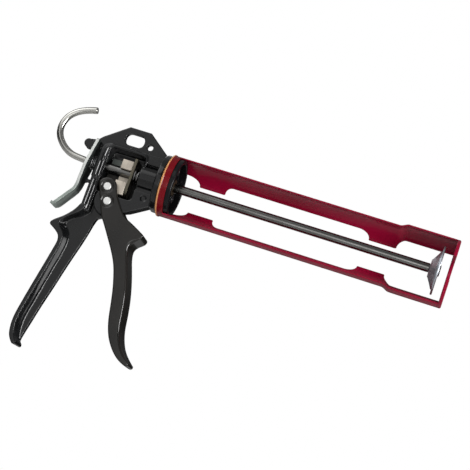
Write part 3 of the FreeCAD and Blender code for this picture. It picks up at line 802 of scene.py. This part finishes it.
def ro_at(x):
    """Outer radius with a soft joggle."""
    a, b = 188.7, 196.3
    if x <= a:
        return RO
    if x >= b:
        return RO2
    t = (x - a) / (b - a)
    t = t * t * (3 - 2 * t) if t < 1 else 1
    return RO + (RO2 - RO) * t


def rail_mesh(dx, flip):
    edge = [(-4.0, S0)]
    for e in tab_edge(-0.5 + dx, 12.7 + dx, 36.0 + dx, 42.5 + dx):
        edge.append(e)
    x = 42.5 + dx
    while x + 6 < 155.5 + dx:
        x += 6
        edge.append((x, S0))
    for e in tab_edge(155.5 + dx, 166.0 + dx, 190.3 + dx, 197.5 + dx):
        edge.append(e)
    x = 197.5 + dx
    while x + 5 < 237.6:
        x += 5
        edge.append((x, S0))
    edge.append((237.6, S0))
    # extra stations through the joggle
    st = []
    for i, (x, s) in enumerate(edge):
        if st and x - st[-1][0] < 1e-4:
            x = st[-1][0] + 1e-4
        st.append((x, s))
    full = [st[0]]
    for p in st[1:]:
        q = full[-1]
        gap = p[0] - q[0]
        lim = 0.8 if 187.5 < p[0] < 198 else 6.0
        k = int(gap // lim)
        for i in range(1, k + 1):
            t = i / (k + 1)
            full.append((q[0] + gap * t, q[1] + (p[1] - q[1]) * t))
        full.append(p)
    bm = bmesh.new()
    rows = []
    NA = 30
    for x, s in full:
        ro = ro_at(x)
        ri = ro - SHEET
        far = 53.0 + math.degrees(math.asin(max(-1, min(1, s / RO))))
        near = -17.0
        e = math.degrees(SHEET / 2 / ro)
        row = []
        for i in range(NA + 1):
            a = near + e + (far - near - 2 * e) * i / NA
            row.append((a, ro))
        for k in range(1, 6):
            w = math.pi * k / 6
            row.append((far - e + e * math.sin(w), (ro + ri) / 2 + (ro - ri) / 2 * math.cos(w)))
        for i in range(NA, -1, -1):
            a = near + e + (far - near - 2 * e) * i / NA
            row.append((a, ri))
        for k in range(5, 0, -1):
            w = math.pi * k / 6
            row.append((near + e - e * math.sin(w), (ro + ri) / 2 + (ro - ri) / 2 * math.cos(w)))
        vs = []
        for a, r in row:
            w = math.radians(a)
            z = r * math.cos(w)
            vs.append(bm.verts.new((x * MM, r * math.sin(w) * MM, (-z if flip else z) * MM)))
        rows.append(vs)
    m = len(rows[0])
    for i in range(len(rows) - 1):
        for k in range(m):
            j = (k + 1) % m
            bm.faces.new((rows[i][k], rows[i + 1][k], rows[i + 1][j], rows[i][j]))
    # caps: strips across the sheet
    for row in (rows[0], rows[-1]):
        a = row[:NA + 1]
        b = row[NA + 6:2 * NA + 7][::-1]
        for i in range(NA):
            bm.faces.new((a[i], a[i + 1], b[i + 1], b[i]))
        fe = [a[NA]] + row[NA + 1:NA + 6] + [b[NA]]
        bm.faces.new(fe)
        ne = [b[0]] + row[2 * NA + 7:] + [a[0]]
        bm.faces.new(ne)
    bmesh.ops.recalc_face_normals(bm, faces=bm.faces)
    return bm


up = new_object("upper_rail_skin", rail_mesh(0.0, False), sharp=60)
finish_piece(up, M_RED, "cradle", "red_sheet", "upper_rail")
dn = new_object("lower_rail_skin", rail_mesh(-2.4, True), sharp=60)
finish_piece(dn, M_RED, "cradle", "red_sheet", "lower_rail")
plate = bevelled(copy_of("front_plate", "end_plate_skin"), 0.45, 3, 40)
finish_piece(plate, M_RED, "cradle", "red_sheet", "front_plate")

# ------------------------------------------------------------------ rod, hook, piston
rod = new_object("rod_skin", lathe([(-84.0, 0, 0), (-84.0, 3.4, 0.3), (-83.2, 3.9, 0.4), (-60, 3.9, 0), (0, 3.9, 0),
                                    (60, 3.9, 0), (120, 3.9, 0), (180, 3.9, 0), (221.7, 3.9, 0.3), (222.1, 3.5, 0.1),
                                    (222.1, 0, 0)], 64, 0.3), sharp=50)
finish_piece(rod, M_ROD, "rod", "rod_steel", "push_rod")


def arc_route(pts, radii, step=7):
    P = [Vector(p) for p in pts]
    out = [P[0]]
    for i in range(1, len(P) - 1):
        a, b, c = P[i - 1], P[i], P[i + 1]
        u, w = a - b, c - b
        lu, lw = u.length, w.length
        u.normalize()
        w.normalize()
        half = math.acos(max(-1, min(1, u.dot(w)))) / 2
        back = min(radii[i] / math.tan(half), 0.46 * lu, 0.46 * lw)
        r = back * math.tan(half)
        bis = (u + w).normalized()
        centre = b + bis * (r / math.sin(half))
        s, e = b + u * back, b + w * back
        for k in range(step + 1):
            t = k / step
            q = (s - centre).lerp(e - centre, t)
            out.append(centre + q.normalized() * r)
    out.append(P[-1])
    # even out the spacing
    fine = [out[0]]
    for q in out[1:]:
        d = (q - fine[-1]).length
        k = int(d // 3.0)
        base = fine[-1]
        for i in range(1, k + 1):
            fine.append(base.lerp(q, i / (k + 1)))
        fine.append(q)
    res = [fine[0]]
    for q in fine[1:]:
        if (q - res[-1]).length > 0.05:
            res.append(q)
    return res


route = arc_route([(-84.0, 0, 0), (-99.3, 0, 1.3), (-107.3, 0, 5.6), (-114.6, 0, 13.2), (-117.6, 0, 22.6),
                   (-114.2, 0, 33.2), (-106.8, 0, 39.9), (-98.0, 0, 43.6), (-90.4, 0, 45.4)],
                  [0, 12, 18, 16, 16, 14, 20, 24, 0])
dense = []
for a, b in zip(route[:-1], route[1:]):
    k = max(1, int((b - a).length / 0.05))
    dense += [a.lerp(b, i / k) for i in range(k)]
dense.append(route[-1])
route, run = [dense[0]], 0.0
for a, b in zip(dense[:-1], dense[1:]):
    run += (b - a).length
    if run >= 0.9:
        route.append(b)
        run = 0.0
route[-1] = dense[-1]
for it in range(26):
    route = [route[0]] + [(route[i - 1] + route[i] * 2 + route[i + 1]) / 4 for i in range(1, len(route) - 1)] + [route[-1]]
hook = new_object("hook_skin", tube(route, 2.93, 32, "chamfer"), sharp=50)
finish_piece(hook, M_HOOK, "rod", "bright_steel", "pull_hook")

cone = new_object("piston_cone_skin", lathe([(222.2, 2.56, 0.1), (222.2, 7.2, 0.5), (223.4, 8.8, 0.6), (225.8, 12.8, 1.5),
                                             (227.6, 16.2, 0.6), (228.6, 17.0, 0.1), (228.6, 2.56, 0.1)], 128, 0.3),
                  sharp=50)
finish_piece(cone, M_PISTON, "piston", "piston_steel", "piston_cone")
disc = new_object("piston_disc_skin", lathe([(228.6, 2.56, 0.1), (228.6, 20.6, 0.3), (229.2, 20.8, 0.3), (229.8, 20.8, 0.3),
                                             (230.3, 20.5, 0.3), (230.3, 17.5, 0.3), (230.0, 17.0, 0.3), (230.0, 8.0, 0.3),
                                             (230.3, 7.4, 0.3), (230.3, 2.56, 0.1)], 160, 0.2), sharp=50)
finish_piece(disc, M_PISTON, "piston", "piston_steel", "piston_disc")
ps = new_object("piston_screw_skin", lathe([(209.1, 0, 0), (209.1, 2.5, 0.1), (230.4, 2.5, 0.05), (230.4, 5.2, 0.1),
                                            (230.9, 4.9, 0.2), (231.3, 4.0, 0.2), (231.3, 1.6, 0.1), (230.7, 1.2, 0.1),
                                            (230.7, 0, 0)], 64, 0.1), sharp=50)
finish_piece(ps, M_BLACKOX, "rod", "dark_fastener", "piston_screw")

# ------------------------------------------------------------------ trigger
trig = copy_of("trigger", "trigger_skin")
FRONT = catmull([(10.6, -152.2), (7.7, -149.2), (3.2, -144.0), (0.2, -138.6), (-2.0, -133.0), (-3.7, -126.5),
                 (-4.8, -119.5), (-6.0, -112.0), (-7.7, -103.5), (-10.0, -94.5), (-12.7, -85.8), (-16.0, -76.5),
                 (-18.5, -69.5), (-19.7, -63.8), (-19.2, -60.0), (-16.9, -56.8), (-14.4, -54.4)], 5)


def round_over(curve, r, s):
    """What a cutter takes off an edge along the curve, which has the metal on its left going up."""
    bm = bmesh.new()
    rows = []
    n = len(curve)
    for i, p in enumerate(curve):
        a, b = Vector(curve[max(i - 1, 0)]), Vector(curve[min(i + 1, n - 1)])
        d = (b - a).normalized()
        out = Vector((d.y, -d.x))
        f = min(1.0, 0.35 + i / 10.0, 0.35 + (n - 1 - i) / 12.0)
        rr = r * f
        prof = [(-rr, 13.6)]
        for k in range(7):
            w = math.radians(90 * k / 6)
            prof.append((-rr + rr * math.sin(w), 12.5 - rr + rr * math.cos(w)))
        prof += [(0.9, 12.5 - rr), (0.9, 13.6)]
        rows.append([bm.verts.new(((p[0] + out.x * o) * MM, s * y * MM, (p[1] + out.y * o) * MM)) for o, y in prof])
    m = len(rows[0])
    for i in range(n - 1):
        for k in range(m):
            j = (k + 1) % m
            bm.faces.new((rows[i][k], rows[i + 1][k], rows[i + 1][j], rows[i][j]))
    bm.faces.new(rows[0])
    bm.faces.new(rows[-1][::-1])
    bmesh.ops.recalc_face_normals(bm, faces=bm.faces)
    return bm


cut(trig, [round_over(FRONT, 3.0, -1), round_over(FRONT, 1.6, 1)])
cast(trig, 0.34, 12)
finish_piece(trig, M_TRIG, "trigger", "black_casting", "trigger")

# ------------------------------------------------------------------ drive block and plate
block = bevelled(copy_of("drive_block", "drive_block_skin"), 0.35, 3)
finish_piece(block, M_BLOCK, "drive", "drive_steel", "drive_block")
tongue = bevelled(copy_of("grip_plate", "grip_plate_skin"), 0.35, 3)
finish_piece(tongue, M_PLATE, "drive", "drive_steel", "grip_plate")

# ------------------------------------------------------------------ release lever
lever = copy_of("release_lever", "release_lever_skin")
cast(lever, 0.24, 3)
finish_piece(lever, M_ZINC, "release", "zinc_steel", "release_lever")

# ------------------------------------------------------------------ studio
scene = bpy.context.scene
world = bpy.data.worlds.new("studio")
scene.world = world
world.use_nodes = True
wn = world.node_tree
wn.nodes.clear()
wout = wn.nodes.new("ShaderNodeOutputWorld")
bg = wn.nodes.new("ShaderNodeBackground")
wn.links.new(bg.outputs[0], wout.inputs[0])
tc = wn.nodes.new("ShaderNodeTexCoord")
sep = wn.nodes.new("ShaderNodeSeparateXYZ")
wn.links.new(tc.outputs["Generated"], sep.inputs[0])
mr = wn.nodes.new("ShaderNodeMapRange")
mr.inputs["From Min"].default_value = 0.15
mr.inputs["From Max"].default_value = 0.9
mr.inputs["To Min"].default_value = 0.010
mr.inputs["To Max"].default_value = 0.24
wn.links.new(sep.outputs[2], mr.inputs["Value"])
lp = wn.nodes.new("ShaderNodeLightPath")
pick = wn.nodes.new("ShaderNodeMix")
wn.links.new(lp.outputs["Is Camera Ray"], pick.inputs[0])
wn.links.new(mr.outputs[0], pick.inputs[2])
pick.inputs[3].default_value = 1.0
wn.links.new(pick.outputs[0], bg.inputs["Strength"])
bg.inputs["Color"].default_value = (1.0, 1.0, 1.0, 1.0)

floor_bm = bmesh.new()
bmesh.ops.create_grid(floor_bm, x_segments=8, y_segments=8, size=2.2)
floor = new_object("pale_floor", floor_bm)
floor.location = (0, 0, -0.5)
fm, fnt, fb = nodes_of("pale_floor_paint")
fcol = mixc(fnt, noise(fnt, coords(fnt), 3, 3, 0.5), (0.90, 0.90, 0.90), (0.94, 0.94, 0.94))
fnt.links.new(fcol, fb.inputs["Base Color"])
fb.inputs["Roughness"].default_value = 0.9
fb.inputs["Specular IOR Level"].default_value = 0.1
floor.data.materials.append(fm)


def area(name, loc, target, size, power, size_y=None, spread=180):
    li = bpy.data.lights.new(name, "AREA")
    li.energy = power
    li.spread = math.radians(spread)
    li.shape = "RECTANGLE"
    li.size = size
    li.size_y = size_y or size
    ob = bpy.data.objects.new(name, li)
    scene.collection.objects.link(ob)
    ob.location = loc
    ob.rotation_mode = "QUATERNION"
    ob.rotation_quaternion = (Vector(target) - Vector(loc)).to_track_quat("-Z", "Y")
    return ob


area("front", (-0.16, -1.55, 0.02), (0.03, 0, -0.02), 1.5, 3.0, 1.15)
area("lens side", (0.25, -1.30, -0.26), (0.03, 0, -0.02), 0.8, 1.7, 0.6)
area("key", (-0.80, -0.80, 0.80), (0.0, 0, 0), 1.4, 1.5, 1.1, 70)
area("strip", (1.15, -0.75, -0.02), (0.0, 0, -0.05), 0.28, 2.9, 0.9, 70)
area("back", (-1.05, 1.35, 0.70), (0.05, 0, -0.02), 1.3, 4.5, 1.0, 150)

cam_data = bpy.data.cameras.new("camera")
cam = bpy.data.objects.new("camera", cam_data)
scene.collection.objects.link(cam)
cam_data.sensor_width = 36.0
cam_data.lens = 99.574
cam_data.clip_start, cam_data.clip_end = 0.05, 50
rot = Matrix(((0.941058, -0.298328, 0.159405), (0.092564, -0.226143, -0.969686), (0.325333, 0.927286, -0.185199)))
cam.matrix_world = Matrix.Translation((0.23406, -1.06101, -0.22553)) @ rot.to_4x4()
scene.camera = cam
scene.view_settings.view_transform = "Standard"
scene.view_settings.look = "None"
